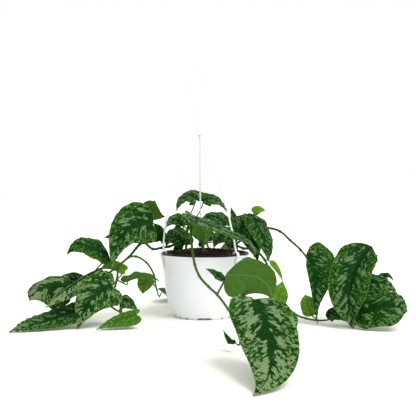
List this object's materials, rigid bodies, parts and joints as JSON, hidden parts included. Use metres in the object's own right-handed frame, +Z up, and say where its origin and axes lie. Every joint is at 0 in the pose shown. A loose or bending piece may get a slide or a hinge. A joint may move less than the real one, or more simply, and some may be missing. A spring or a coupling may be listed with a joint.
{
  "type": "satin pothos in a hanging pot",
  "caption": "Trailing satin pothos with silver-marked heart leaves, growing in a white plastic pot with a thin clip-on hanger and a hook above; it stands on a table.",
  "frame": {"origin": "middle of the pot's foot, in the plane of the table that it stands on", "axes": "+Z up along the pot's axis, -Y towards the front, where the longest vine trails along the table, +X to the right seen from the front"},
  "size_m": [0.667, 0.771, 0.4706],
  "materials": {
    "white_plastic": "satin",
    "black_plastic": "satin",
    "potting_soil": "matte",
    "stem": "satin",
    "leaf": "satin",
    "young_leaf": "satin"
  },
  "bodies": {
    "root": {"grow_pot": "black_plastic", "hanger_hook": "white_plastic", "hanger_leg_back": "white_plastic", "hanger_leg_left": "white_plastic", "hanger_leg_right": "white_plastic", "leaf_back_01": "leaf", "leaf_back_02": "leaf", "leaf_back_03": "leaf", "leaf_back_04": "leaf", "leaf_back_05": "leaf", "leaf_back_06": "leaf", "leaf_crown_01": "leaf", "leaf_crown_02": "leaf", "leaf_crown_03": "leaf", "leaf_crown_04": "leaf", "leaf_crown_05": "leaf", "leaf_crown_06": "leaf", "leaf_crown_07": "leaf", "leaf_crown_08": "leaf", "leaf_crown_09": "leaf", "leaf_crown_10": "leaf", "leaf_crown_11": "young_leaf", "leaf_crown_12": "leaf", "leaf_crown_13": "leaf", "leaf_crown_14": "young_leaf", "leaf_crown_15": "young_leaf", "leaf_front_01": "leaf", "leaf_front_02": "leaf", "leaf_front_03": "leaf", "leaf_left_01": "leaf", "leaf_left_02": "leaf", "leaf_left_03": "leaf", "leaf_left_04": "leaf", "leaf_left_05": "leaf", "leaf_left_06": "leaf", "leaf_left_07": "leaf", "leaf_left_08": "leaf", "leaf_left_09": "leaf", "leaf_left_10": "leaf", "leaf_left_11": "young_leaf", "leaf_left_12": "young_leaf", "leaf_left_13": "leaf", "leaf_right_01": "leaf", "leaf_right_02": "leaf", "leaf_right_03": "leaf", "leaf_right_04": "leaf", "leaf_right_05": "leaf", "leaf_right_06": "leaf", "leaf_right_07": "young_leaf", "leaf_right_08": "leaf", "pot": "white_plastic", "soil": "potting_soil", "vine_back": "stem", "vine_crown_left": "stem", "vine_crown_middle": "stem", "vine_crown_right": "stem", "vine_front": "stem", "vine_left": "stem", "vine_right_arch": "stem", "vine_right_low": "stem"}
  },
  "joints": []
}
